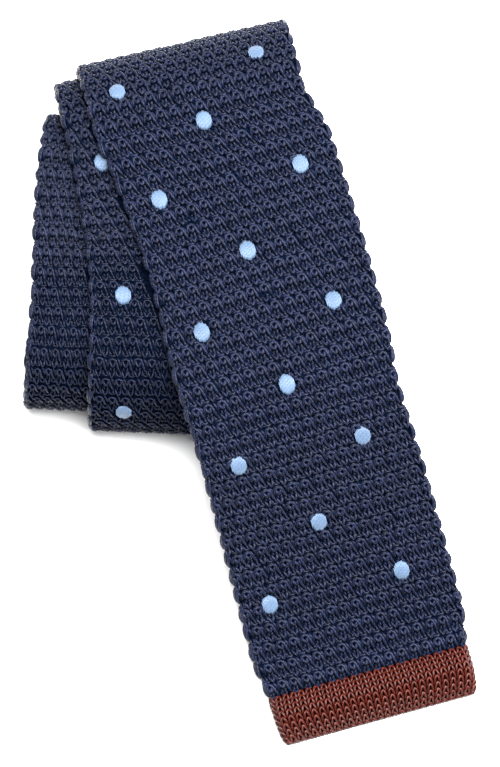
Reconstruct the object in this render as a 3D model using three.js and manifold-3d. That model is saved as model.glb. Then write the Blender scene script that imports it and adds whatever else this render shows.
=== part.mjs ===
// A knitted tie, rolled up flat on itself, with its blade drawn out over the roll and down to the table.
// Millimetres, Z up. The roll lies on Z = 0, and the tip of the blade points to -Y.
import * as THREE from "three";
import { mergeVertices } from "three/addons/utils/BufferGeometryUtils.js";
import Module from "manifold-3d";

const wasm = await Module();
wasm.setup();

// The tie itself
const bladeWidth = 60;
const neckWidth = 42.5;
const taperStart = 420; // along the tie, from its tip
const taperEnd = 700;
const knitThickness = 2.35; // both walls of the tube, pressed flat

// How it is rolled
const layerGap = 0.3; // air between one turn and the next
const rollTurns = 8;
const rollLength = 108.4; // between the two outermost folds, at the middle of the tie
const bladeRun = 178.9; // from the tip to the first fold
const tailInset = 3; // the tail ends this far inside the innermost turn

// The knitted band at the tip
const bandDepth = 13.2;
const bandThickness = 6;
const bandWidth = 56;
const seamGap = 0.3;

// The embroidered dots
const dotWidth = 4.4;
const dotLength = 4.9;
const dotFirst = 38.3; // from the tip to the first row
const dotSpacing = 19.6; // from row to row
const dotRowCount = 23;
const dotSeat = 0.9; // how deep each dot's pocket goes into the knit
const dotLift = 0.35; // how far a dot in the open stands proud
const dotSunk = 0.05; // how far a dot that is pressed flat stays below the knit's face
const dotClearance = 0.3;
// Its outline from the rim to the middle. out: share of the radius. down: share of the dot's height below its top.
const dotDome = [
  { out: 1, down: 0.35 },
  { out: 0.72, down: 0.08 },
  { out: 0, down: 0 },
];
const facingDown = -0.8; // a face whose outward direction sinks below this lies on the table

// Mesh steps
const foldSteps = 12;
const tightSteps = 8; // for a fold lower than tightFold
const tightFold = 16;
const passSteps = 3;
const bladeSteps = 18;
const fineSteps = 10; // the blade's line is worked out in this many times finer steps
const edgeSteps = 4;
const dotSides = 10;
const pocketSides = 12;
const smallestStep = 1; // between two outlines of the knit
const smallestDetail = 0.02;

const tieBlue = new THREE.MeshStandardMaterial({ color: 0x2e3852, roughness: 0.62, metalness: 0 });
const bandBrown = new THREE.MeshStandardMaterial({ color: 0x71403b, roughness: 0.7, metalness: 0 });
const dotBlue = new THREE.MeshStandardMaterial({ color: 0xa4c6ee, roughness: 0.5, metalness: 0 });

// The folds from the outside in, far ones at +Y and near ones at -Y, by turns.
// turn: angle of the fold's axis from X, in degrees. slack: room to the fold outside it, as a share of
// rollLength. shift: its step sideways from that fold, as a share of bladeWidth. high: the share of the
// fold's height above its outermost line. deep, low: how far it bulges out above and below that line, as
// shares of its height.
const folds = [
  { turn: 13.5, slack: 0, shift: 0.12, high: 0.7, deep: 0.66, low: 0.3 },
  { turn: -2.2, slack: 0, shift: 0.2, high: 0.64, deep: 0.52, low: 0.34 },
  { turn: 13, slack: 0.01, shift: -0.135, high: 0.72, deep: 0.68, low: 0.28 },
  { turn: -2.5, slack: 0.022, shift: -0.395, high: 0.62, deep: 0.5, low: 0.36 },
  { turn: -4.5, slack: 0.118, shift: -0.213, high: 0.62, deep: 0.6, low: 0.38 },
  { turn: -3, slack: 0.036, shift: 0, high: 0.5, deep: 0.5, low: 0.5 },
  { turn: -4, slack: 0.036, shift: 0, high: 0.5, deep: 0.5, low: 0.5 },
];
// The turns inside these are alike, half-round and close.
const coreFold = { turn: -3.5, slack: 0.002, shift: 0, high: 0.5, deep: 0.5, low: 0.5 };

// The blade, from its first fold (at 0) to its tip (at 1). turn: as for the folds. rise: its height, as a
// share of the height of the roll. left, right: each edge's step to the right, as a share of bladeWidth.
const bladeRows = [
  { at: 0, turn: 13.5, rise: 1, left: -0.01, right: -0.03 },
  { at: 0.1, turn: 16.5, rise: 1, left: 0.032, right: 0.03 },
  { at: 0.22, turn: 17.3, rise: 1, left: 0.045, right: 0.026 },
  { at: 0.41, turn: 17.3, rise: 1, left: 0.012, right: 0.003 },
  { at: 0.5, turn: 17, rise: 0.905, left: 0.015, right: -0.024 },
  { at: 0.62, turn: 16.5, rise: 0.61, left: 0.018, right: -0.006 },
  { at: 0.74, turn: 16, rise: 0.29, left: 0.02, right: 0.006 },
  { at: 0.86, turn: 15.7, rise: 0.06, left: 0.02, right: 0.012 },
  { at: 0.93, turn: 15.6, rise: 0.01, left: 0.045, right: -0.02 },
  { at: 1, turn: 15.6, rise: 0, left: 0.045, right: -0.02 },
];

// The tip band, from its seam (at 0) to its end (at 1). thick and base: its thickness and the height of its
// underside, as shares of bandThickness. wide: a share of bandWidth.
const bandRows = [
  { at: 0, thick: 0.42, base: 0, wide: 1 },
  { at: 0.22, thick: 0.5, base: 0, wide: 1 },
  { at: 0.45, thick: 0.72, base: 0, wide: 0.995 },
  { at: 0.62, thick: 0.92, base: 0, wide: 0.99 },
  { at: 0.78, thick: 1, base: 0, wide: 0.985 },
  { at: 0.88, thick: 0.88, base: 0.05, wide: 0.975 },
  { at: 0.95, thick: 0.62, base: 0.17, wide: 0.96 },
  { at: 1, thick: 0.24, base: 0.36, wide: 0.94 },
];

// Where a row of dots leaves the regular places. left, middle, right: shares of the width. slip: the row's step
// along the tie, and skew: how much further its right dot is from the tip, both as shares of dotSpacing.
const dotColumns = { left: 0.16, middle: 0.48, right: 0.8, slip: 0, skew: 0 };
const dotDrift = {
  0: { left: 0.143, right: 0.769, slip: 0.015, skew: -0.03 },
  1: { middle: 0.458, slip: 0.015 },
  2: { left: 0.169, right: 0.764, slip: 0.16, skew: -0.08 },
  3: { middle: 0.487, slip: 0.055 },
  4: { left: 0.172, right: 0.79, slip: 0.09, skew: -0.1 },
  5: { middle: 0.469, slip: 0.025 },
  6: { left: 0.158, right: 0.822, slip: 0.08, skew: -0.07 },
  7: { middle: 0.496 },
  8: { left: 0.149, right: 0.82, slip: -0.26, skew: 0.14 },
  9: { slip: -0.1 },
  16: { slip: 0.14 },
  18: { left: 0.152, slip: -0.07 },
  20: { left: 0.138, slip: 0.11 },
};

const pitch = knitThickness + layerGap;
const layerCount = 2 * rollTurns;
const layerHeight = (layer) => knitThickness / 2 + layer * pitch;
const radians = (degrees) => (degrees * Math.PI) / 180;
const along = (turn) => new THREE.Vector3(-Math.sin(radians(turn)), Math.cos(radians(turn)), 0);
const across = (turn) => new THREE.Vector3(Math.cos(radians(turn)), Math.sin(radians(turn)), 0);
const mix = (a, b, t) => a + (b - a) * t;
const ease = (t) => {
  const c = Math.min(Math.max(t, 0), 1);
  return c * c * (3 - 2 * c);
};

// A column of a table at any place, by a smooth curve that keeps between neighbouring rows.
function column(rows, name, at) {
  const slope = (i) => (rows[i + 1][name] - rows[i][name]) / (rows[i + 1].at - rows[i].at);
  const tangent = (i) => {
    if (i === 0) return slope(0);
    if (i === rows.length - 1) return slope(i - 1);
    const before = slope(i - 1);
    const after = slope(i);
    return before * after <= 0 ? 0 : (2 * before * after) / (before + after);
  };
  let i = 0;
  while (i < rows.length - 2 && at > rows[i + 1].at) i++;
  const span = rows[i + 1].at - rows[i].at;
  const t = Math.min(Math.max((at - rows[i].at) / span, 0), 1);
  const t2 = t * t;
  const t3 = t2 * t;
  return (
    (2 * t3 - 3 * t2 + 1) * rows[i][name] +
    (t3 - 2 * t2 + t) * span * tangent(i) +
    (3 * t2 - 2 * t3) * rows[i + 1][name] +
    (t3 - t2) * span * tangent(i + 1)
  );
}

// Each fold's outermost point, at the middle of the tie, and the two layers that it joins.
function placeFolds() {
  const placed = [];
  let upper = layerCount - 1;
  let lower = 0;
  for (let i = 0; i < layerCount - 1; i++) {
    const fold = { ...(folds[i] ?? coreFold), side: i % 2 === 0 ? 1 : -1 };
    const outward = along(fold.turn).multiplyScalar(fold.side);
    const outer = placed[i - 2];
    if (outer) {
      fold.place = outer.place
        .clone()
        .addScaledVector(along(outer.turn).multiplyScalar(outer.side), -(pitch + fold.slack * rollLength))
        .addScaledVector(across(outer.turn), fold.shift * bladeWidth);
    } else {
      fold.place = new THREE.Vector3(fold.shift * bladeWidth, (fold.side * rollLength) / 2, 0);
    }
    fold.outward = outward;
    fold.top = layerHeight(fold.side > 0 ? upper : upper - 1);
    fold.bottom = layerHeight(lower);
    if (fold.side < 0) {
      upper--;
      lower++;
    }
    placed.push(fold);
  }
  return placed;
}

// The points of one fold along the middle of the knit, in the order in which the tie runs.
function foldPoints(fold) {
  const height = fold.top - fold.bottom;
  const line = fold.bottom + (1 - fold.high) * height;
  const steps = height < tightFold ? tightSteps : foldSteps;
  const points = [];
  for (let i = 0; i <= steps; i++) {
    const angle = (Math.PI * i) / steps; // 0 on top, a straight angle below
    const bulge = (angle < Math.PI / 2 ? fold.deep : fold.low) * height;
    const reach = angle < Math.PI / 2 ? fold.high * height : (1 - fold.high) * height;
    const point = fold.place.clone().addScaledVector(fold.outward, -bulge * (1 - Math.sin(angle)));
    point.z = line + reach * Math.cos(angle);
    points.push(point);
  }
  return fold.side > 0 ? points : points.reverse();
}

// The stations of the tie from its tip to its tail: the middle of the knit, the turn of the line across
// it, and the name of the stretch.
function layOut() {
  const stations = [];
  const placed = placeFolds();
  const top = layerHeight(layerCount - 1);
  const bottom = layerHeight(0);

  const point = foldPoints(placed[0])[0];
  const blade = [{ point: point.clone(), turn: placed[0].turn, stretch: "blade" }];
  const step = bladeRun / (bladeSteps * fineSteps);
  for (let i = 1; i <= bladeSteps * fineSteps; i++) {
    const at = (i * step) / bladeRun;
    const height = mix(bottom, top, column(bladeRows, "rise", at));
    const drop = height - point.z;
    const turn = column(bladeRows, "turn", (i - 0.5) / (bladeSteps * fineSteps));
    point.addScaledVector(along(turn), -Math.sqrt(Math.max(step * step - drop * drop, 0)));
    point.z = height;
    if (i % fineSteps === 0) {
      blade.push({ point: point.clone(), turn: column(bladeRows, "turn", at), stretch: "blade" });
    }
  }
  stations.push(...blade.reverse());
  stations.pop();

  placed.forEach((fold, i) => {
    const points = foldPoints(fold);
    if (i > 0) {
      const from = stations[stations.length - 1];
      stations.push(...passPoints(from.point, placed[i - 1], points[0], fold, i));
    }
    for (const p of points) stations.push({ point: p, turn: fold.turn, stretch: "fold" + (i + 1) });
  });

  const last = placed[placed.length - 1];
  const enclosing = placed[placed.length - 2];
  const end = stations[stations.length - 1].point.clone();
  const room = end.clone().sub(enclosing.place).dot(along(last.turn));
  const tail = Math.max(room - (enclosing.top - enclosing.bottom) / 2 - tailInset, pitch);
  for (let i = 1; i <= passSteps; i++) {
    const p = end.clone().addScaledVector(along(last.turn), (-tail * i) / passSteps);
    stations.push({ point: p, turn: last.turn, stretch: "tail" });
  }

  let s = 0;
  stations.forEach((station, i) => {
    if (i > 0) s += station.point.distanceTo(stations[i - 1].point);
    station.s = s;
    const before = stations[Math.max(i - 1, 0)].point;
    const after = stations[Math.min(i + 1, stations.length - 1)].point;
    station.right = across(station.turn);
    station.along = after.clone().sub(before);
    station.along.addScaledVector(station.right, -station.along.dot(station.right)).normalize();
    station.outward = new THREE.Vector3().crossVectors(station.right, station.along);
  });
  return stations;
}

// The flat stretch between two folds, which bends in its own plane from one turn to the other.
function passPoints(start, before, end, after, index) {
  const out = along(before.turn).multiplyScalar(-before.side);
  const into = along(after.turn).multiplyScalar(after.side);
  const length = start.distanceTo(end);
  const points = [];
  for (let i = 1; i < passSteps; i++) {
    const t = i / passSteps;
    const t2 = t * t;
    const t3 = t2 * t;
    const p = start
      .clone()
      .multiplyScalar(2 * t3 - 3 * t2 + 1)
      .addScaledVector(out, (t3 - 2 * t2 + t) * length)
      .addScaledVector(end, 3 * t2 - 2 * t3)
      .addScaledVector(into, (t3 - t2) * length);
    points.push({ point: p, turn: mix(before.turn, after.turn, ease(t)), stretch: "pass" + index });
  }
  return points;
}

// Both edges of the tie at a place along it, measured to the right from its middle line.
function edges(s) {
  const half = mix(bladeWidth, neckWidth, ease((s - taperStart) / (taperEnd - taperStart))) / 2;
  const at = Math.min(Math.max(1 - s / bladeRun, 0), 1);
  const fade = s > bladeRun ? Math.max(1 - (s - bladeRun) / bladeWidth, 0) : 1;
  return {
    left: -half + column(bladeRows, "left", at) * bladeWidth * fade,
    right: half + column(bladeRows, "right", at) * bladeWidth * fade,
  };
}

// The station at any place along the tie, between the two nearest ones.
function stationAt(stations, s) {
  let i = 0;
  while (i < stations.length - 2 && s > stations[i + 1].s) i++;
  const a = stations[i];
  const b = stations[i + 1];
  const t = (s - a.s) / (b.s - a.s);
  const right = a.right.clone().lerp(b.right, t).normalize();
  const run = b.point.clone().sub(a.point);
  run.addScaledVector(right, -run.dot(right)).normalize();
  return {
    s,
    point: a.point.clone().lerp(b.point, t),
    right,
    along: run,
    outward: new THREE.Vector3().crossVectors(right, run),
    stretch: a.stretch,
  };
}

// A closed solid through rings of points, each ring with the same count, capped at both ends.
function loft(rings) {
  const count = rings[0].length;
  const positions = rings.flat().flatMap((p) => [p.x, p.y, p.z]);
  const index = [];
  for (let i = 0; i < rings.length - 1; i++) {
    for (let j = 0; j < count; j++) {
      const a = i * count + j;
      const b = i * count + ((j + 1) % count);
      index.push(a, a + count, b + count, a, b + count, b);
    }
  }
  const last = (rings.length - 1) * count;
  for (let j = 1; j < count - 1; j++) {
    index.push(0, j, j + 1);
    index.push(last, last + j + 1, last + j);
  }
  const geometry = new THREE.BufferGeometry();
  geometry.setAttribute("position", new THREE.Float32BufferAttribute(positions, 3));
  geometry.setIndex(index);
  return geometry;
}

// The outline of the knit at a station: flat above and below, with round edges.
function ring(station, left, right, thickness, lift) {
  const radius = thickness / 2;
  const points = [];
  for (const [centre, first] of [
    [right - radius, -90],
    [left + radius, 90],
  ]) {
    for (let i = 0; i <= edgeSteps; i++) {
      const angle = radians(first + (180 * i) / edgeSteps);
      points.push(
        station.point
          .clone()
          .addScaledVector(station.right, centre + radius * Math.cos(angle))
          .addScaledVector(station.outward, lift + radius * Math.sin(angle)),
      );
    }
  }
  return points;
}

// manifold-3d solids for cutting, and back to a geometry.
function solid(geometry) {
  const bare = geometry.clone();
  bare.deleteAttribute("normal");
  bare.deleteAttribute("uv");
  const merged = mergeVertices(bare, 1e-4);
  return new wasm.Manifold(
    new wasm.Mesh({
      numProp: 3,
      vertProperties: merged.attributes.position.array,
      triVerts: new Uint32Array(merged.index.array),
    }),
  );
}

function geometryOf(manifold) {
  const mesh = manifold.getMesh();
  const geometry = new THREE.BufferGeometry();
  geometry.setAttribute("position", new THREE.Float32BufferAttribute(mesh.vertProperties, 3));
  geometry.setIndex(new THREE.Uint32BufferAttribute(mesh.triVerts, 1));
  return geometry;
}

// The tube stops short of the tip, where the band is sewn on.
function makeTube(stations, dots) {
  const seam = bandDepth + seamGap;
  const rings = [stationAt(stations, seam), ...stations.filter((station) => station.s > seam + smallestStep)].map(
    (station) => {
      const edge = edges(station.s);
      return ring(station, edge.left, edge.right, knitThickness, 0);
    },
  );
  const pockets = dots.map((dot) => {
    const above = layerGap / 2; // the cut stays clear of the turn outside this one
    const pocket = new THREE.CylinderGeometry(1, 1, dotSeat + above, pocketSides);
    pocket.translate(0, (above - dotSeat) / 2, 0);
    pocket.scale(dotWidth / 2 + dotClearance, 1, dotLength / 2 + dotClearance);
    pocket.applyMatrix4(dot.frame);
    return solid(pocket);
  });
  const tube = pockets.reduce((left, pocket) => left.subtract(pocket), solid(loft(rings)));
  return geometryOf(tube.simplify(smallestDetail));
}

// The band widens upwards from the table, because its underside stays level with the tube's.
function makeBand(stations) {
  const rings = bandRows.map((row) => {
    const station = stationAt(stations, bandDepth * (1 - row.at));
    const edge = edges(station.s);
    const middle = (edge.left + edge.right) / 2;
    const half = (bandWidth * row.wide) / 2;
    const thickness = bandThickness * row.thick;
    const lift = row.base * bandThickness + (thickness - knitThickness) / 2;
    return ring(station, middle - half, middle + half, thickness, lift);
  });
  return loft(rings.reverse());
}

// A padded disc, flat below and domed above, about its own Y axis.
function makeDot(lift) {
  const base = -(dotSeat - dotClearance);
  const dome = dotDome.map((row) => new THREE.Vector2(row.out, lift - (lift - base) * row.down));
  const profile = [new THREE.Vector2(0, base), new THREE.Vector2(1, base), ...dome];
  const disc = new THREE.LatheGeometry(profile, dotSides);
  disc.scale(dotWidth / 2, 1, dotLength / 2);
  return disc;
}

// Where each dot goes, from the tip to the last row: side dots and middle dots take turns.
function placeDots(stations) {
  const dots = [];
  for (let row = 0; row < dotRowCount; row++) {
    const shares = { ...dotColumns, ...dotDrift[row] };
    for (const name of row % 2 === 0 ? ["left", "right"] : ["middle"]) {
      const slip = shares.slip + (name === "right" ? shares.skew : 0);
      const station = stationAt(stations, dotFirst + (row + slip) * dotSpacing);
      const edge = edges(station.s);
      const face = station.point
        .clone()
        .addScaledVector(station.right, mix(edge.left, edge.right, shares[name]))
        .addScaledVector(station.outward, knitThickness / 2);
      const frame = new THREE.Matrix4()
        .makeBasis(station.right, station.outward, station.along.clone().negate())
        .setPosition(face);
      const open = ["blade", "fold1"].includes(station.stretch) && station.outward.z > facingDown;
      dots.push({ frame, lift: open ? dotLift : -dotSunk });
    }
  }
  return dots;
}

function named(name, geometry, material) {
  const mesh = new THREE.Mesh(geometry, material);
  mesh.name = name;
  geometry.computeVertexNormals();
  return mesh;
}

const stations = layOut();
const dots = placeDots(stations);

const tie = new THREE.Group();
tie.add(named("knit_tube", makeTube(stations, dots), tieBlue));
tie.add(named("tip_band", makeBand(stations), bandBrown));
dots.forEach((dot, i) => {
  const mesh = named("dot_" + String(i + 1).padStart(2, "0"), makeDot(dot.lift), dotBlue);
  mesh.applyMatrix4(dot.frame);
  tie.add(mesh);
});

// The origin is under the middle of the tie's box.
const box = new THREE.Box3().setFromObject(tie, true);
const middle = box.getCenter(new THREE.Vector3());
tie.position.set(-middle.x, -middle.y, -box.min.z);

const part = new THREE.Group();
part.add(tie);
export default part;
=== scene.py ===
import math

import bpy
import numpy as np
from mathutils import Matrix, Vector
from mathutils.bvhtree import BVHTree


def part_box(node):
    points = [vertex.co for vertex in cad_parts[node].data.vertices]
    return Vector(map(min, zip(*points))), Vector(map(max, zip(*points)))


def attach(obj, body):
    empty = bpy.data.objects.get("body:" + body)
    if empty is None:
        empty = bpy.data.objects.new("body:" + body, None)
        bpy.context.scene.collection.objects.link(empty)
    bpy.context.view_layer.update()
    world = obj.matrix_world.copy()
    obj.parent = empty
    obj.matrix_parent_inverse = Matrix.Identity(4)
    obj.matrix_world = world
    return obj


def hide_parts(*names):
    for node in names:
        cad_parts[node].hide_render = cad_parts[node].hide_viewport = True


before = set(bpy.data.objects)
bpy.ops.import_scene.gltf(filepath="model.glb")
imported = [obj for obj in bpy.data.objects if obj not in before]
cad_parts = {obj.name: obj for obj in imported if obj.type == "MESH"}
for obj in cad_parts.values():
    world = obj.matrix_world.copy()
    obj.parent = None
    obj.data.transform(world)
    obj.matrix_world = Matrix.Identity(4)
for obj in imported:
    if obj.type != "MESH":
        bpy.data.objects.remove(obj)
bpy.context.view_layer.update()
bpy.ops.object.select_all(action="DESELECT")
print("the solids of the tie are loaded")

mm = 0.001


# Camera, floor and light

view = {
    "tilt": 15.0,
    "distance": 1.5,
    "target": (0.00026, -0.00476, 0.022),
    "lens": 258.2,
}

tilt = math.radians(view["tilt"])
bpy.ops.object.camera_add(
    location=(
        view["target"][0],
        view["target"][1] - view["distance"] * math.sin(tilt),
        view["target"][2] + view["distance"] * math.cos(tilt),
    ),
    rotation=(tilt, 0, 0),
)
camera = bpy.context.object
camera.name = "photo_camera"
camera.data.lens = view["lens"]
camera.data.sensor_width = 36
camera.data.clip_start = 0.1
camera.data.clip_end = 20
bpy.context.scene.camera = camera

floorLook = {"size": 6.0, "color": (0.88, 0.88, 0.885), "roughness": 0.85}

bpy.ops.mesh.primitive_plane_add(size=floorLook["size"], location=(0, 0, 0))
floor = bpy.context.object
floor.name = "white_table"
floorPaint = bpy.data.materials.new("white_table")
floorPaint.use_nodes = True
floorShader = floorPaint.node_tree.nodes["Principled BSDF"]
floorShader.inputs["Base Color"].default_value = (*floorLook["color"], 1)
floorShader.inputs["Roughness"].default_value = floorLook["roughness"]
floor.data.materials.append(floorPaint)

lamps = {
    "softbox_over": {"place": (0.25, 0.16, 1.4), "size": 1.3, "power": 130},
    "softbox_right": {"place": (1.1, 0.25, 0.95), "size": 0.6, "power": 42},
}

for name, lamp in lamps.items():
    bpy.ops.object.light_add(type="AREA", location=lamp["place"])
    light = bpy.context.object
    light.name = name
    light.data.shape = "DISK"
    light.data.size = lamp["size"]
    light.data.energy = lamp["power"]
    aim = Vector((0, 0, 0.02)) - Vector(lamp["place"])
    light.rotation_euler = aim.to_track_quat("-Z", "Y").to_euler()

sky = bpy.data.worlds.new("studio")
sky.use_nodes = True
sky.node_tree.nodes["Background"].inputs["Color"].default_value = (1, 1, 1, 1)
sky.node_tree.nodes["Background"].inputs["Strength"].default_value = 0.38
bpy.context.scene.world = sky
bpy.context.scene.view_settings.view_transform = "Standard"
print("camera, table and lamps are set")


# The way the tie runs, in millimetres, as it is rolled

tie = {
    "bladeWidth": 60,
    "neckWidth": 42.5,
    "taperStart": 420,
    "taperEnd": 700,
    "thick": 2.35,
    "layerGap": 0.3,
    "turns": 8,
    "rollLength": 108.4,
    "bladeRun": 178.9,
    "tailInset": 3,
    "middle": (25.719, -38.819),
}

foldNames = ("turn", "slack", "shift", "high", "deep", "low")
foldRows = [
    (13.5, 0, 0.12, 0.7, 0.66, 0.3),
    (-2.2, 0, 0.2, 0.64, 0.52, 0.34),
    (13, 0.01, -0.135, 0.72, 0.68, 0.28),
    (-2.5, 0.022, -0.395, 0.62, 0.5, 0.36),
    (-4.5, 0.118, -0.213, 0.62, 0.6, 0.38),
    (-3, 0.036, 0, 0.5, 0.5, 0.5),
    (-4, 0.036, 0, 0.5, 0.5, 0.5),
]
coreRow = (-3.5, 0.002, 0, 0.5, 0.5, 0.5)

bladeRows = {
    "at": (0, 0.1, 0.22, 0.41, 0.5, 0.62, 0.74, 0.86, 0.93, 1),
    "turn": (13.5, 16.5, 17.3, 17.3, 17, 16.5, 16, 15.7, 15.6, 15.6),
    "rise": (1, 1, 1, 1, 0.905, 0.61, 0.29, 0.06, 0.01, 0),
    "left": (-0.01, 0.032, 0.045, 0.012, 0.015, 0.018, 0.02, 0.02, 0.045, 0.045),
    "right": (-0.03, 0.03, 0.026, 0.003, -0.024, -0.006, 0.006, 0.012, -0.02, -0.02),
}

pitch = tie["thick"] + tie["layerGap"]
layerCount = 2 * tie["turns"]


def layerHeight(layer):
    return tie["thick"] / 2 + layer * pitch


def along(turn):
    return np.array((-math.sin(math.radians(turn)), math.cos(math.radians(turn)), 0))


def across(turn):
    return np.array((math.cos(math.radians(turn)), math.sin(math.radians(turn)), 0))


def ease(t):
    c = min(max(t, 0), 1)
    return c * c * (3 - 2 * c)


def bladeColumn(name, at):
    # a smooth curve through one column of the blade's table
    places, values = bladeRows["at"], bladeRows[name]
    last = len(places) - 1

    def slope(i):
        return (values[i + 1] - values[i]) / (places[i + 1] - places[i])

    def tangent(i):
        if i == 0 or i == last:
            return slope(0 if i == 0 else last - 1)
        before, after = slope(i - 1), slope(i)
        return 0 if before * after <= 0 else 2 * before * after / (before + after)

    i = 0
    while i < last - 1 and at > places[i + 1]:
        i += 1
    span = places[i + 1] - places[i]
    t = min(max((at - places[i]) / span, 0), 1)
    return (
        (2 * t**3 - 3 * t**2 + 1) * values[i]
        + (t**3 - 2 * t**2 + t) * span * tangent(i)
        + (3 * t**2 - 2 * t**3) * values[i + 1]
        + (t**3 - t**2) * span * tangent(i + 1)
    )


def placeFolds():
    placed = []
    upper, lower = layerCount - 1, 0
    for i in range(layerCount - 1):
        fold = dict(zip(foldNames, foldRows[i] if i < len(foldRows) else coreRow))
        fold["side"] = 1 if i % 2 == 0 else -1
        if i >= 2:
            outer = placed[i - 2]
            inward = pitch + fold["slack"] * tie["rollLength"]
            fold["place"] = (
                outer["place"]
                - along(outer["turn"]) * outer["side"] * inward
                + across(outer["turn"]) * fold["shift"] * tie["bladeWidth"]
            )
        else:
            fold["place"] = np.array(
                (fold["shift"] * tie["bladeWidth"], fold["side"] * tie["rollLength"] / 2, 0)
            )
        fold["top"] = layerHeight(upper if fold["side"] > 0 else upper - 1)
        fold["bottom"] = layerHeight(lower)
        if fold["side"] < 0:
            upper, lower = upper - 1, lower + 1
        placed.append(fold)
    return placed


def foldPoints(fold, steps):
    height = fold["top"] - fold["bottom"]
    line = fold["bottom"] + (1 - fold["high"]) * height
    outward = along(fold["turn"]) * fold["side"]
    points = []
    for i in range(steps + 1):
        angle = math.pi * i / steps
        above = angle < math.pi / 2
        bulge = fold["deep" if above else "low"] * height
        reach = (fold["high"] if above else 1 - fold["high"]) * height
        point = fold["place"] - outward * bulge * (1 - math.sin(angle))
        point = point + np.array((0, 0, line + reach * math.cos(angle)))
        points.append(point)
    return points if fold["side"] > 0 else points[::-1]


def passPoints(start, before, end, after, steps):
    out = -along(before["turn"]) * before["side"]
    into = along(after["turn"]) * after["side"]
    length = np.linalg.norm(end - start)
    run = []
    for i in range(1, steps):
        t = i / steps
        point = (
            start * (2 * t**3 - 3 * t**2 + 1)
            + out * (t**3 - 2 * t**2 + t) * length
            + end * (3 * t**2 - 2 * t**3)
            + into * (t**3 - t**2) * length
        )
        turn = before["turn"] + (after["turn"] - before["turn"]) * ease(t)
        run.append((point, turn))
    return run


def layOut(foldSteps=26, passSteps=14, bladeSteps=180):
    placed = placeFolds()
    top, bottom = layerHeight(layerCount - 1), layerHeight(0)
    point = foldPoints(placed[0], foldSteps)[0]
    run = [(point, placed[0]["turn"])]
    step = tie["bladeRun"] / bladeSteps
    for i in range(1, bladeSteps + 1):
        height = bottom + (top - bottom) * bladeColumn("rise", i / bladeSteps)
        drop = height - point[2]
        turn = bladeColumn("turn", (i - 0.5) / bladeSteps)
        point = point - along(turn) * math.sqrt(max(step * step - drop * drop, 0))
        point[2] = height
        run.append((point, bladeColumn("turn", i / bladeSteps)))
    run = run[::-1][:-1]
    for i, fold in enumerate(placed):
        points = foldPoints(fold, foldSteps)
        if i > 0:
            run += passPoints(run[-1][0], placed[i - 1], points[0], fold, passSteps)
        run += [(p, fold["turn"]) for p in points]
    last, enclosing = placed[-1], placed[-2]
    end = run[-1][0]
    room = float(np.dot(end - enclosing["place"], along(last["turn"])))
    tail = max(room - (enclosing["top"] - enclosing["bottom"]) / 2 - tie["tailInset"], pitch)
    for i in range(1, passSteps + 1):
        run.append((end - along(last["turn"]) * tail * i / passSteps, last["turn"]))
    return run


run = layOut()
linePoints = np.array([p for p, _ in run]) - np.array((*tie["middle"], 0))
lineTurns = np.array([t for _, t in run])
lineS = np.concatenate(((0,), np.cumsum(np.linalg.norm(np.diff(linePoints, axis=0), axis=1))))
lineRight = np.array([across(t) for t in lineTurns])
runs = np.empty_like(linePoints)
runs[1:-1] = linePoints[2:] - linePoints[:-2]
runs[0], runs[-1] = linePoints[1] - linePoints[0], linePoints[-1] - linePoints[-2]
runs -= lineRight * np.sum(runs * lineRight, axis=1)[:, None]
runs /= np.linalg.norm(runs, axis=1)[:, None]
lineOut = np.cross(lineRight, runs)
tieLength = float(lineS[-1])


def atLength(values, s):
    return np.stack([np.interp(s, lineS, values[:, k]) for k in range(3)], axis=-1)


bladeAt = np.linspace(0, 1, 101)
bladeLeft = np.array([bladeColumn("left", a) for a in bladeAt]) * tie["bladeWidth"]
bladeRight = np.array([bladeColumn("right", a) for a in bladeAt]) * tie["bladeWidth"]


def edges(s):
    taper = np.clip((s - tie["taperStart"]) / (tie["taperEnd"] - tie["taperStart"]), 0, 1)
    taper = taper * taper * (3 - 2 * taper)
    half = (tie["bladeWidth"] + (tie["neckWidth"] - tie["bladeWidth"]) * taper) / 2
    at = np.clip(1 - s / tie["bladeRun"], 0, 1)
    fade = np.clip(1 - (s - tie["bladeRun"]) / tie["bladeWidth"], 0, 1)
    left = -half + np.interp(at, bladeAt, bladeLeft) * fade
    right = half + np.interp(at, bladeAt, bladeRight) * fade
    return left, right


def aroundTube(around, flat, radius, reach):
    # Across and outward on a flattened tube of that radius at its rims. around runs from 0 to 1 about it,
    # from its left rim over the front.
    bow = math.pi * radius
    way = (around % 1) * 2 * (flat + bow)
    front = way - bow / 2
    rightRim = front - flat
    back = rightRim - bow
    leftRim = back - flat
    stretches = [front < 0, front <= flat, rightRim < bow, back <= flat]
    sideways = np.select(
        stretches,
        [
            -flat / 2 - reach * np.cos(way / radius),
            front - flat / 2,
            flat / 2 + reach * np.sin(rightRim / radius),
            flat / 2 - back,
        ],
        -flat / 2 - reach * np.sin(leftRim / radius),
    )
    outward = np.select(
        stretches,
        [reach * np.sin(way / radius), reach, reach * np.cos(rightRim / radius), -reach],
        -reach * np.cos(leftRim / radius),
    )
    return sideways, outward


def tieTotal(s):
    # the way round the tube at s
    left, right = edges(s)
    return 2 * (right - left - tie["thick"]) + math.pi * tie["thick"]


def onTie(s, around, lift):
    # a place on the tie: s along it, around from 0 to 1 about the tube, lift above the face
    s, around, lift = np.broadcast_arrays(s, around, lift)
    left, right = edges(s)
    half = tie["thick"] / 2
    sideways, outward = aroundTube(around, right - left - tie["thick"], half, half + lift)
    return (
        atLength(linePoints, s)
        + atLength(lineRight, s) * ((left + right) / 2 + sideways)[..., None]
        + atLength(lineOut, s) * outward[..., None]
    )


print("the tie runs", round(tieLength), "mm through", len(lineS), "places")


# Meshes from arrays

tableLift = 0.03  # yarn is pressed flat where it lies on the table


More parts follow.
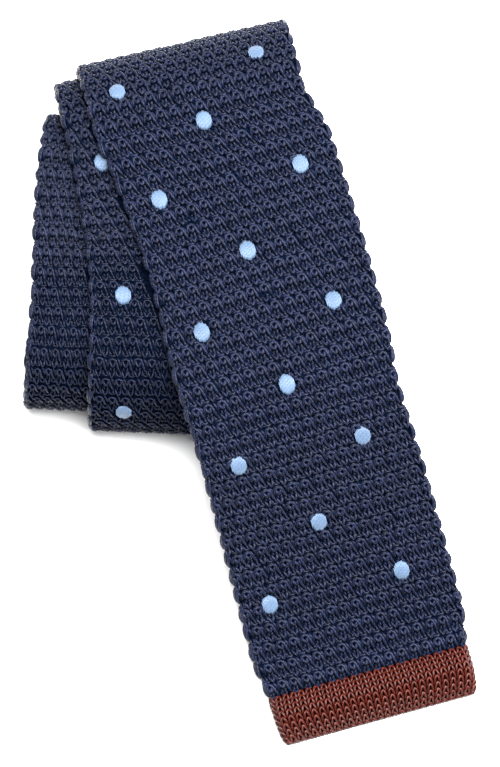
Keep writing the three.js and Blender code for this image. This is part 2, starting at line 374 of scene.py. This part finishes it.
def makePiece(name, points, quads, material, caps=None, uv=None):
    mesh = bpy.data.meshes.new(name)
    points = np.array(points, dtype=np.float32).reshape(-1, 3)
    points[:, 2] = np.maximum(points[:, 2], tableLift)
    points *= mm
    quads = np.asarray(quads, dtype=np.int32).reshape(-1, 4)
    caps = np.zeros((0, 3), np.int32) if caps is None else np.asarray(caps, dtype=np.int32)
    loops = np.concatenate((quads.ravel(), caps.ravel()))
    starts = np.concatenate(
        (np.arange(len(quads)) * 4, len(quads) * 4 + np.arange(len(caps)) * (caps.shape[1] if len(caps) else 3))
    )
    mesh.vertices.add(len(points))
    mesh.vertices.foreach_set("co", points.ravel())
    mesh.loops.add(len(loops))
    mesh.loops.foreach_set("vertex_index", loops)
    mesh.polygons.add(len(starts))
    mesh.polygons.foreach_set("loop_start", starts.astype(np.int32))
    mesh.update(calc_edges=True)
    mesh.polygons.foreach_set("use_smooth", np.ones(len(starts), dtype=bool))
    if uv is not None:
        layer = mesh.uv_layers.new(name="yarn")
        layer.data.foreach_set("uv", np.asarray(uv, dtype=np.float32)[loops].ravel())
    mesh.validate()
    piece = bpy.data.objects.new(name, mesh)
    bpy.context.collection.objects.link(piece)
    piece.data.materials.append(material)
    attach(piece, "root")
    return piece


def smoothPath(rows, steps):
    # more points on a smooth curve through the rows of a strand's table
    rows = np.array(rows, dtype=float)
    ends = np.vstack((2 * rows[0] - rows[1], rows, 2 * rows[-1] - rows[-2]))
    path = []
    for i in range(1, len(ends) - 2):
        a, b, c, d = ends[i - 1 : i + 3]
        for k in range(steps):
            t = k / steps
            path.append(
                0.5
                * (2 * b + (c - a) * t + (2 * a - 5 * b + 4 * c - d) * t**2 + (3 * b - a - 3 * c + d) * t**3)
            )
    path.append(rows[-1])
    return np.array(path)


def strandMesh(centres, normals, radius, sides):
    # Tubes of yarn about many lines at once. centres: lines, points, 3. radius: one for all, or one for each
    # line and point.
    lines, count = centres.shape[:2]
    tangent = np.empty_like(centres)
    tangent[:, 1:-1] = centres[:, 2:] - centres[:, :-2]
    tangent[:, 0], tangent[:, -1] = centres[:, 1] - centres[:, 0], centres[:, -1] - centres[:, -2]
    tangent /= np.linalg.norm(tangent, axis=2, keepdims=True) + 1e-9
    side = np.cross(tangent, normals)
    side /= np.linalg.norm(side, axis=2, keepdims=True) + 1e-9
    up = np.cross(side, tangent)
    radius = np.broadcast_to(np.asarray(radius, dtype=float), (lines, count))
    rings = []
    for k in range(sides):
        angle = 2 * math.pi * k / sides
        rings.append(centres + radius[..., None] * (math.cos(angle) * side + math.sin(angle) * up))
    points = np.stack(rings, axis=2)
    base = (np.arange(lines)[:, None, None] * count + np.arange(count - 1)[None, :, None]) * sides
    k = np.arange(sides)[None, None, :]
    k2 = (k + 1) % sides
    quads = np.stack((base + k, base + sides + k, base + sides + k2, base + k2), axis=-1)
    first = np.arange(lines)[:, None] * count * sides
    caps = np.concatenate(
        (first + np.arange(sides)[None, :], first + (count - 1) * sides + np.arange(sides)[::-1][None, :])
    )
    length = np.concatenate(
        (np.zeros((lines, 1)), np.cumsum(np.linalg.norm(np.diff(centres, axis=1), axis=2), axis=1)), axis=1
    )
    uv = np.empty((lines, count, sides, 2))
    uv[..., 0] = length[:, :, None]
    uv[..., 1] = (np.arange(sides) / sides)[None, None, :]
    return points.reshape(-1, 3), quads.reshape(-1, 4), caps, uv.reshape(-1, 2)


def joinStrands(parts):
    points, quads, caps, uvs, offset = [], [], [], [], 0
    for p, q, c, u in parts:
        points.append(p)
        quads.append(q + offset)
        caps.append(c + offset)
        uvs.append(u)
        offset += len(p)
    return np.concatenate(points), np.concatenate(quads), np.concatenate(caps), np.concatenate(uvs)


# Yarns and thread

yarns = {
    "knit_navy": {
        "color": (0.0058, 0.0086, 0.024),
        "roughness": 0.38,
        "gloss": 0.085,
        "sheen": 0.03,
        "patches": 420,
        "uneven": 0.3,
        "twist": 6.0,
        "plies": 3,
        "grooveShade": 0.3,
        "relief": 0.07,
    },
    # knit_core_painted_shade is painted shade: near black, far darker than the navy yarn, for the shaded gaps
    # between the stitches
    "knit_core_painted_shade": {
        "color": (0.0008, 0.0018, 0.005),
        "roughness": 0.9,
        "gloss": 0.0,
        "sheen": 0.0,
        "patches": 1600,
        "uneven": 0.9,
        "twist": 0,
    },
    "knit_brown": {
        "color": (0.043, 0.0058, 0.003),
        "roughness": 0.38,
        "gloss": 0.18,
        "sheen": 0.0,
        "patches": 420,
        "uneven": 0.2,
        "twist": 4.5,
        "plies": 3,
        "grooveShade": 0.3,
        "relief": 0.07,
    },
    # band_core_painted_shade is painted shade: near-black brown, far darker than the brown yarn, for the shaded
    # gaps between the band's loops
    "band_core_painted_shade": {
        "color": (0.0022, 0.0003, 0.0002),
        "roughness": 0.9,
        "gloss": 0.0,
        "sheen": 0.0,
        "patches": 420,
        "uneven": 0.2,
        "twist": 0,
    },
    "thread_blue": {
        "color": (0.07, 0.108, 0.17),
        "roughness": 0.35,
        "gloss": 0.2,
        "sheen": 0.03,
        "patches": 300,
        "uneven": 0.12,
        "twist": 8.0,
        "plies": 2,
        "grooveShade": 0.92,
        "relief": 0.04,
    },
}


# what all the yarns share: the ramp between their two tones, and the painted shade in the grooves between their
# plies
spun = {"detail": 3, "dark": 0.32, "light": 0.68, "grooveShadeEnd": 0.2, "bump": 0.4, "sheenRoughness": 0.4}


def makeYarn(name):
    look = yarns[name]
    material = bpy.data.materials.new(name)
    material.use_nodes = True
    nodes, links = material.node_tree.nodes, material.node_tree.links
    shader = nodes["Principled BSDF"]
    shader.inputs["Roughness"].default_value = look["roughness"]
    shader.inputs["Sheen Weight"].default_value = look["sheen"]
    shader.inputs["Sheen Roughness"].default_value = spun["sheenRoughness"]
    shader.inputs["Specular IOR Level"].default_value = look["gloss"]
    places = nodes.new("ShaderNodeTexCoord")
    patches = nodes.new("ShaderNodeTexNoise")
    patches.inputs["Scale"].default_value = look["patches"]
    patches.inputs["Detail"].default_value = spun["detail"]
    links.new(places.outputs["Object"], patches.inputs["Vector"])
    shades = nodes.new("ShaderNodeValToRGB")
    color = look["color"]
    shades.color_ramp.elements[0].position = spun["dark"]
    shades.color_ramp.elements[0].color = (*[c * (1 - look["uneven"]) for c in color], 1)
    shades.color_ramp.elements[1].position = spun["light"]
    shades.color_ramp.elements[1].color = (*[c * (1 + look["uneven"]) for c in color], 1)
    links.new(patches.outputs["Fac"], shades.inputs["Fac"])
    if not look["twist"]:
        links.new(shades.outputs["Color"], shader.inputs["Base Color"])
        return material

    # the plies wind round the yarn: a sine of the way along it and about it, which bumps the surface and, as
    # painted shade, darkens the base colour in the grooves
    yarnMap = nodes.new("ShaderNodeUVMap")
    yarnMap.uv_map = "yarn"
    split = nodes.new("ShaderNodeSeparateXYZ")
    links.new(yarnMap.outputs["UV"], split.inputs[0])
    turns = nodes.new("ShaderNodeMath")
    turns.operation = "MULTIPLY"
    turns.inputs[1].default_value = look["twist"]
    links.new(split.outputs["X"], turns.inputs[0])
    lean = nodes.new("ShaderNodeMath")
    lean.operation = "MULTIPLY_ADD"
    lean.inputs[1].default_value = 2 * math.pi * look["plies"]
    links.new(split.outputs["Y"], lean.inputs[0])
    links.new(turns.outputs[0], lean.inputs[2])
    plies = nodes.new("ShaderNodeMath")
    plies.operation = "SINE"
    links.new(lean.outputs[0], plies.inputs[0])
    # painted shade: the base colour falls to the yarn's groove share in the grooves between the plies
    grooveShade = nodes.new("ShaderNodeMapRange")
    grooveShade.inputs["From Min"].default_value = -1
    grooveShade.inputs["From Max"].default_value = spun["grooveShadeEnd"]
    grooveShade.inputs["To Min"].default_value = look["grooveShade"]
    grooveShade.inputs["To Max"].default_value = 1
    links.new(plies.outputs[0], grooveShade.inputs["Value"])
    grooveShaded = nodes.new("ShaderNodeVectorMath")
    grooveShaded.operation = "SCALE"
    links.new(shades.outputs["Color"], grooveShaded.inputs[0])
    links.new(grooveShade.outputs["Result"], grooveShaded.inputs["Scale"])
    links.new(grooveShaded.outputs["Vector"], shader.inputs["Base Color"])
    bump = nodes.new("ShaderNodeBump")
    bump.inputs["Strength"].default_value = spun["bump"]
    bump.inputs["Distance"].default_value = look["relief"] * mm
    links.new(plies.outputs[0], bump.inputs["Height"])
    links.new(bump.outputs["Normal"], shader.inputs["Normal"])
    return material


navy = makeYarn("knit_navy")
paintedShadeCore = makeYarn("knit_core_painted_shade")
brown = makeYarn("knit_brown")
bandPaintedShadeCore = makeYarn("band_core_painted_shade")
blue = makeYarn("thread_blue")


# The body of the knit, just below its stitches, coloured near black: painted shade in the gaps between them

body = {"sunk": 0.6, "seam": 13.4, "firstStep": 0.4, "rimPoints": 7, "facePoints": 8}

bodyS = np.concatenate(((body["seam"],), lineS[lineS > body["seam"] + body["firstStep"]]))


def bodyRings(lift):
    quarter = math.pi * tie["thick"] / 4 / tieTotal(bodyS)[:, None]
    rimSteps = np.linspace(-1, 1, body["rimPoints"]) * quarter
    faceSteps = quarter + np.linspace(0.1, 0.9, body["facePoints"]) * (0.5 - 2 * quarter)
    shares = np.concatenate((rimSteps, faceSteps, 0.5 + rimSteps, 0.5 + faceSteps), axis=1)
    return onTie(bodyS[:, None], shares, lift)


def closedRings(rings):
    # a closed tube, its faces outward, through rings that run toward the tail
    count, sides = rings.shape[:2]
    i = np.arange(count - 1)[:, None] * sides
    j = np.arange(sides)[None, :]
    j2 = (j + 1) % sides
    quads = np.stack((i + j, i + j2, i + sides + j2, i + sides + j), axis=-1).reshape(-1, 4)
    ends = []
    for start, flip in ((0, True), ((count - 1) * sides, False)):
        for k in range(sides // 2 - 1):
            quad = [start + k, start + k + 1, start + sides - 2 - k, start + sides - 1 - k]
            ends.append(quad[::-1] if flip else quad)
    return rings.reshape(-1, 3), np.vstack((quads, ends))


corePoints, coreQuads = closedRings(bodyRings(-body["sunk"]))
knitBody = makePiece("knit_body", corePoints, coreQuads, paintedShadeCore)
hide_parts("knit_tube")
print("the body of the knit has", len(coreQuads), "faces")


# The embroidered dots, each where its solid lies

satin = {
    "threads": 12,
    "width": 4.15,
    "length": 5.4,
    "ragged": 0.22,
    "thread": 0.22,
    "proud": 0.42,
    "pressed": -0.1,
    "seat": -0.45,
    "points": 9,
    "sides": 6,
    "openRoom": 1.2,
    "onTable": 2.5,
}
# how the knit is drawn in about a dot: as deep as this within reach less fade, in shares of the dot's radius
dotDraw = {"deep": 0.75, "reach": 1.6, "fade": 0.5}

# the place on the line that a dot belongs to lies this far below it, and within half the tie's width
dotFit = {"above": 0.9, "weight": 4, "halfWidth": 30}

dotNodes = sorted(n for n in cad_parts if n.startswith("dot_"))
dotSpots = []
for name in dotNodes:
    low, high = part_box(name)
    centre = (np.array(low) + np.array(high)) / 2 / mm
    gap = centre - linePoints
    ahead = np.sum(gap * np.cross(lineOut, lineRight), axis=1)
    above = np.sum(gap * lineOut, axis=1)
    beside = np.sum(gap * lineRight, axis=1)
    past = np.maximum(abs(beside) - dotFit["halfWidth"], 0)
    near = np.argmin(ahead**2 + dotFit["weight"] * (above - dotFit["above"]) ** 2 + past**2)
    dotSpots.append((name, float(lineS[near] + ahead[near]), float(beside[near]), centre))


def onFace(s, beside, lift):
    # a place on the front face, beside the middle line
    s, beside, lift = np.broadcast_arrays(s, beside, lift)
    return (
        atLength(linePoints, s)
        + atLength(lineRight, s) * beside[..., None]
        + atLength(lineOut, s) * (lift + tie["thick"] / 2)[..., None]
    )


dotCentres = np.array([onFace(s, b, 0.0) for _, s, b, _ in dotSpots])
print("dots:", len(dotSpots), "furthest from its solid, mm:",
      round(float(max(np.linalg.norm(c - spot[3]) for c, spot in zip(dotCentres, dotSpots))), 2))


# Stitches. Each strand of one stitch is a short table: across and toward the tip in millimetres, and lift.

stitch = {
    "columns": 34,
    "row": 5.46,
    "cell": 3.6,
    "yarn": 0.33,
    "first": 16.2,
    "wander": 0.11,
    "drift": 0.28,
    "feet": 2.75,
    "pushed": 0.3,
    "drawn": ((316, 410), (560, 642)),
    "drawnFade": 12,
    "thinner": 0.42,
    "thinEnds": 0.35,
    "seed": 4,
}

strands = {
    # the tall loop over the eye, down to its neighbours
    "arch": [
        (-1.34, 1.35, -0.8),
        (-1.2, 0.6, -0.45),
        (-1.06, -0.1, -0.18),
        (-0.66, -0.82, 0.0),
        (0.1, -1.02, 0.08),
        (0.8, -0.72, 0.18),
        (1.12, 0.06, 0.2),
        (1.36, 0.92, 0.1),
        (1.62, 1.75, -0.15),
        (1.84, 2.4, -0.6),
    ],
    # the small loop that closes the eye below
    "eye": [
        (-0.7, -0.35, -0.3),
        (-0.56, 0.25, -0.02),
        (-0.04, 0.98, 0.1),
        (0.5, 0.34, 0.16),
        (0.66, -0.3, -0.1),
    ],
    # its legs, seen below it
    "legLeft": [
        (-0.56, 1.5, -0.65),
        (-0.46, 1.95, -0.3),
        (-0.36, 2.4, -0.65),
    ],
    "legRight": [
        (0.52, 1.4, -0.5),
        (0.44, 1.9, -0.08),
        (0.34, 2.45, -0.5),
    ],
    # the bright loop between the eyes of the next row
    "vee": [
        (-0.98, 2.3, -0.55),
        (-0.78, 2.85, -0.06),
        (-0.2, 3.85, 0.14),
        (0.36, 2.9, -0.06),
        (0.56, 2.35, -0.55),
    ],
    # floats that show dimly behind the loops, over them and beside them
    "floatOver": [
        (-1.45, -2.3, -0.75),
        (-0.5, -1.75, -0.56),
        (0.5, -1.72, -0.56),
        (1.35, -2.2, -0.75),
    ],
    "floatBeside": [
        (-2.3, -1.1, -0.75),
        (-1.85, -0.45, -0.56),
        (-1.6, 0.25, -0.56),
        (-1.55, 1.0, -0.75),
    ],
    # two short legs above the eye
    "heelLeft": [
        (-0.98, -3.05, -0.6),
        (-0.76, -2.5, 0.02),
        (-0.48, -1.9, -0.5),
    ],
    "heelRight": [
        (0.14, -3.1, -0.6),
        (0.28, -2.55, -0.04),
        (0.44, -1.95, -0.55),
    ],
}
# how many steps between two rows of a table, and how thick each strand is beside the others
strandShape = {
    "arch": {"steps": 1, "weight": 1.36},
    "eye": {"steps": 2, "weight": 1.34},
    "legLeft": {"steps": 1, "weight": 1.0},
    "legRight": {"steps": 1, "weight": 1.1},
    "vee": {"steps": 2, "weight": 1.16},
    "floatOver": {"steps": 1, "weight": 1.25},
    "floatBeside": {"steps": 1, "weight": 1.25},
    "heelLeft": {"steps": 1, "weight": 1.15},
    "heelRight": {"steps": 1, "weight": 1.05},
}

# at the two rims the yarn turns round the edge in bundles, full on every second row
rim = {
    "strands": 5,
    "apart": 0.6,
    "lean": 0.7,
    "reach": 2.3,
    "thick": 0.35,
    "full": 0.2,
    "flat": -0.12,
    "sunk": 0.6,
    "points": 7,
    "room": 0.8,
}
plainRim = {"strands": 3, "apart": 1.5 * rim["apart"], "thick": 1.35 * rim["thick"]}

rows = np.arange(int((tieLength - stitch["first"]) / stitch["row"]))
cellRow, cellColumn = np.meshgrid(rows, np.arange(stitch["columns"]), indexing="ij")
cellS = (stitch["first"] + cellRow * stitch["row"]).ravel()
cellRound = ((cellColumn + 0.5 + 0.5 * (cellRow % 2)) / stitch["columns"]).ravel() % 1

# stitches that another turn covers are left out
nominal, nominalQuads = closedRings(bodyRings(0))
nominalTree = BVHTree.FromPolygons([Vector(p) for p in nominal], [tuple(q) for q in nominalQuads])
cellPlace = onTie(cellS, cellRound, 0.0)
cellOut = onTie(cellS, cellRound, 1.0) - cellPlace


rayStart, rayReach = 0.12, 9.0


def roomAbove(place, out, reach=rayReach):
    hit = nominalTree.ray_cast(Vector(place + out * rayStart), Vector(out), reach)
    return reach if hit[0] is None else hit[3]


cellRoom = np.array([roomAbove(p, o) for p, o in zip(cellPlace, cellOut)])
print("stitches:", len(cellS), "of which in the open:", int((cellRoom > satin["openRoom"]).sum()))


def sinkNearDots(centres):
    # the knit is drawn in round each dot
    sink = np.zeros(centres.shape[:-1])
    for spot in dotCentres:
        reach = np.linalg.norm(centres - spot, axis=-1) / (satin["width"] / 2)
        near = np.clip((dotDraw["reach"] - reach) / dotDraw["fade"], 0, 1)
        sink = np.maximum(sink, dotDraw["deep"] * near)
    return sink


def stretched(s):
    # the knit is drawn thin over the folds on the near side
    thin = np.ones_like(s)
    for start, end in stitch["drawn"]:
        thin -= stitch["thinner"] * np.clip(np.minimum(s - start, end - s) / stitch["drawnFade"], 0, 1)
    return thin


def taper(count):
    # a strand thins where it goes under
    return 1 - stitch["thinEnds"] * abs(np.linspace(-1, 1, count)) ** 4


def knitStitches(chosen, names, sides, fine):
    random = np.random.default_rng(stitch["seed"])
    wander = random.normal(0, stitch["wander"], (len(cellS), 3))
    # the rows also drift a little, in slow waves, as the knit is handled
    wave = np.sin(cellS / 11 + 2.5 * np.sin(cellRound * 9)) * np.cos(cellRound * 21 + cellS / 37)
    wander[:, 1] += stitch["drift"] * wave
    wander[:, 0] += stitch["drift"] * np.sin(cellS / 17 + cellRound * 13)
    s0, r0, w = cellS[chosen], cellRound[chosen], wander[chosen]
    total = tieTotal(s0)
    squeeze = total / stitch["columns"] / stitch["cell"]
    parts = []
    for name in names:
        path = smoothPath(strands[name], strandShape[name]["steps"] if fine else 1)
        x = (path[None, :, 0] * squeeze[:, None] + w[:, None, 0]) / total[:, None]
        y = path[None, :, 1] + w[:, None, 1]
        z = path[None, :, 2] + np.zeros_like(x)
        # the band pushes the feet of the first row back
        past = s0[:, None] - y - (stitch["first"] - stitch["feet"])
        s = stitch["first"] - stitch["feet"] + np.maximum(past, stitch["pushed"] * past)
        centres = onTie(s, r0[:, None] + x, z)
        normals = (onTie(s, r0[:, None] + x, z + 0.5) - centres) * 2
        centres = centres - normals * sinkNearDots(centres)[..., None]
        radius = stitch["yarn"] * strandShape[name]["weight"] * taper(len(path)) * stretched(s0)[:, None]
        parts.append(strandMesh(centres, normals, radius, sides))
    return parts


def rimBundles(limits, sides, fine):
    parts = []
    look = rim if fine else plainRim
    s0 = stitch["first"] + rows * stitch["row"]
    for side in (0.0, 0.5):
        place = onTie(s0, side, 0.0)
        out = onTie(s0, side, 1.0) - place
        free = np.array([roomAbove(p, o) > rim["room"] for p, o in zip(place, out)])
        for full in (True, False):
            chosen = (s0 >= limits[0]) & (s0 < limits[1]) & (rows % 2 == (1 if full else 0)) & free
            if not chosen.any():
                continue
            s1 = s0[chosen]
            total = tieTotal(s1)
            t = np.linspace(-1, 1, rim["points"])
            for k in range(look["strands"]):
                beside = (k - (look["strands"] - 1) / 2) * look["apart"]
                x = (beside + rim["lean"] * t / 2) / total[:, None]
                s = s1[:, None] + rim["reach"] * t
                swell = rim["full"] if full else rim["flat"]
                z = -rim["sunk"] + (rim["sunk"] + swell) * np.sqrt(1 - (t * 0.97) ** 2) + np.zeros_like(x)
                centres = onTie(s, side + x, z)
                normals = (onTie(s, side + x, z + 0.5) - centres) * 2
                parts.append(strandMesh(centres, normals, look["thick"] * taper(len(t)), sides))
    return parts


onRim = abs((cellRound + 0.25) % 0.5 - 0.25) < 0.01
frontOf = cellRound < 0.5
# the way along the tie, the face, and how fully the stitches are worked: full where they lie in the open
plainStrands = ["arch", "vee"]
stretchNames = ("start", "end", "face", "fine", "sides", "room")
stretchRows = {
    "knit_blade": (0, 100, "front", True, 5, 1.2),
    "knit_blade_far": (100, 190, "front", True, 5, 1.2),
    "knit_blade_back": (0, 190, "back", False, 4, 1.2),
    "knit_far_fold": (190, 240, "front", True, 4, 1.2),
    "knit_under": (240, 318, "front", False, 4, 0.2),
    "knit_near_fold": (318, 378, "front", True, 4, 1.2),
    "knit_inner_faces": (190, 378, "back", False, 4, 1.2),
    "knit_second_turn": (378, 470, "front", True, 4, 1.2),
    "knit_second_far": (470, 570, "front", False, 4, 1.2),
    "knit_second_back": (378, 570, "back", False, 4, 1.8),
    "knit_third_turn": (570, 690, "front", True, 4, 1.2),
    "knit_inner_turns": (690, 2000, "front", False, 4, 2.4),
    "knit_inner_backs": (570, 2000, "back", False, 4, 2.4),
}
stitchPieces = []
triangles = 0
for name, row in stretchRows.items():
    stretch = dict(zip(stretchNames, row))
    chosen = (cellRoom > stretch["room"]) & ~onRim & (cellS >= stretch["start"]) & (cellS < stretch["end"])
    chosen &= frontOf if stretch["face"] == "front" else ~frontOf
    if not chosen.any():
        continue
    fine, sides = stretch["fine"], stretch["sides"]
    strandParts = knitStitches(chosen, list(strands) if fine else plainStrands, sides, fine)
    if stretch["face"] == "front":
        strandParts += rimBundles((stretch["start"], stretch["end"]), sides, fine)
    points, quads, caps, uv = joinStrands(strandParts)
    piece = makePiece(name, points, quads, navy, caps, uv)
    stitchPieces.append(piece)
    count = len(quads) * 2 + len(caps) * (sides - 2)
    triangles += count
    print(name, int(chosen.sum()), "stitches", count, "triangles")
print("stitches in all:", triangles, "triangles")


# Satin stitches, side by side over each dot

def satinDot(s, beside, proud):
    threads = satin["threads"]
    sideways = (np.arange(threads) + 0.5) / threads * 2 - 1
    chord = np.sqrt(1 - (sideways * 0.97) ** 2)
    t = np.linspace(-1, 1, satin["points"])
    uneven = np.random.default_rng(int(s * 7)).uniform(-1, 1, threads)
    ragged = 1 + uneven * satin["ragged"] / satin["length"] * 2
    ahead = (chord * ragged)[:, None] * t[None, :] * satin["length"] / 2
    side = np.repeat(sideways[:, None], len(t), axis=1) * satin["width"] / 2
    dome = np.sqrt(np.clip(1 - (t[None, :] * 0.96) ** 2, 0, 1)) * (0.55 + 0.45 * chord[:, None])
    lift = satin["seat"] + (proud - satin["seat"]) * dome
    centres = onFace(s + ahead, beside + side, lift - satin["thread"])
    normals = onFace(s + ahead, beside + side, lift + 1.0) - centres
    return strandMesh(centres, normals, satin["thread"], satin["sides"])


dotParts = []
for name, s, beside, centre in dotSpots:
    place = onFace(s, beside, 0.0)
    inOpen = roomAbove(place, onFace(s, beside, 1.0) - place) > satin["openRoom"]
    proud = inOpen and centre[2] >= satin["onTable"]
    dotParts.append(satinDot(s, beside, satin["proud" if proud else "pressed"]))
points, quads, caps, uv = joinStrands(dotParts)
dotPiece = makePiece("embroidered_dots", points, quads, blue, caps, uv)
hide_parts(*dotNodes)
stitchPieces.append(dotPiece)
print("dots:", len(quads) * 2, "triangles")


# The band at the tip, knitted plain and turned under at its end

band = {
    "depth": 13.2,
    "thick": 6.0,
    "wide": 56.0,
    "wales": 54,
    "course": 1.75,
    "yarn": 0.37,
    "sunk": 0.54,
    "sides": 6,
}
bandRows = {
    "at": (0, 0.15, 0.32, 0.5, 0.65, 0.78, 0.88, 0.95, 1, 1.012),
    "thick": (0.44, 0.66, 0.86, 0.9, 0.82, 0.67, 0.49, 0.31, 0.12, 0.03),
    "base": (0, 0, 0, 0, 0, 0.01, 0.03, 0.07, 0.14, 0.17),
    "wide": (1, 1, 0.997, 0.994, 0.988, 0.98, 0.972, 0.96, 0.945, 0.94),
}
bandSteps = {"profile": 120, "rings": 40, "round": 96}
bandFine = np.linspace(0, bandRows["at"][-1], bandSteps["profile"])
bandBase = np.interp(bandFine, bandRows["at"], bandRows["base"])
bandTop = (bandBase + np.interp(bandFine, bandRows["at"], bandRows["thick"])) * band["thick"]
bandWay = np.concatenate(((0,), np.cumsum(np.hypot(np.diff(bandFine * band["depth"]), np.diff(bandTop)))))


def onBand(way, around, lift):
    # way: millimetres from the seam over the band toward its end
    way, around, lift = np.broadcast_arrays(way, around, lift)
    at = np.interp(way, bandWay, bandFine)
    s = band["depth"] * (1 - at)
    left, right = edges(s)
    half = np.interp(at, bandRows["at"], bandRows["wide"]) * band["wide"] / 2
    radius = np.interp(at, bandRows["at"], bandRows["thick"]) * band["thick"] / 2
    rise = np.interp(at, bandRows["at"], bandRows["base"]) * band["thick"] + radius - tie["thick"] / 2
    sideways, outward = aroundTube(around, 2 * (half - radius), radius, radius + lift)
    return (
        atLength(linePoints, s)
        + atLength(lineRight, s) * ((left + right) / 2 + sideways)[..., None]
        + atLength(lineOut, s) * (rise + outward)[..., None]
    )


bandShares = np.arange(bandSteps["round"]) / bandSteps["round"]
bandWays = np.linspace(0, bandWay[-1], bandSteps["rings"])
bandRings = onBand(bandWays[:, None], bandShares[None, :], -band["sunk"])
points, quads = closedRings(bandRings[::-1])
# the body under the band's loops is coloured near black as painted shade between them
bandBody = makePiece("tip_band_body", points, quads, bandPaintedShadeCore)
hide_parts("tip_band")

# one loop of the band: across in shares of half a wale, toward the end and lift in millimetres
bandLoop = [
    (-0.8, 1.35, -0.6),
    (-0.66, 0.6, -0.16),
    (-0.46, -0.25, 0.12),
    (0, -0.9, 0.0),
    (0.46, -0.25, 0.12),
    (0.66, 0.6, -0.16),
    (0.8, 1.35, -0.6),
]
courses = int(bandWay[-1] / band["course"])
courseNo, waleNo = np.meshgrid(np.arange(courses + 1), np.arange(band["wales"]), indexing="ij")
ways = (courseNo.ravel() + 0.45) * bandWay[-1] / (courses + 0.6)
rounds = (waleNo.ravel() + 0.5) / band["wales"]
path = smoothPath(bandLoop, 2)
way = np.clip(ways[:, None] + path[None, :, 1], 0.1, bandWay[-1])
around = rounds[:, None] + path[None, :, 0] / 2 / band["wales"]
centres = onBand(way, around, path[None, :, 2])
normals = onBand(way, around, path[None, :, 2] + 0.5) - centres
points, quads, caps, uv = strandMesh(centres, normals, band["yarn"] * taper(len(path)), band["sides"])
bandKnit = makePiece("tip_band_knit", points, quads, brown, caps, uv)
stitchPieces += [bandBody, bandKnit]
print("band:", len(quads) * 2, "triangles")


# Finish

print("the sheet and the sizes are written")
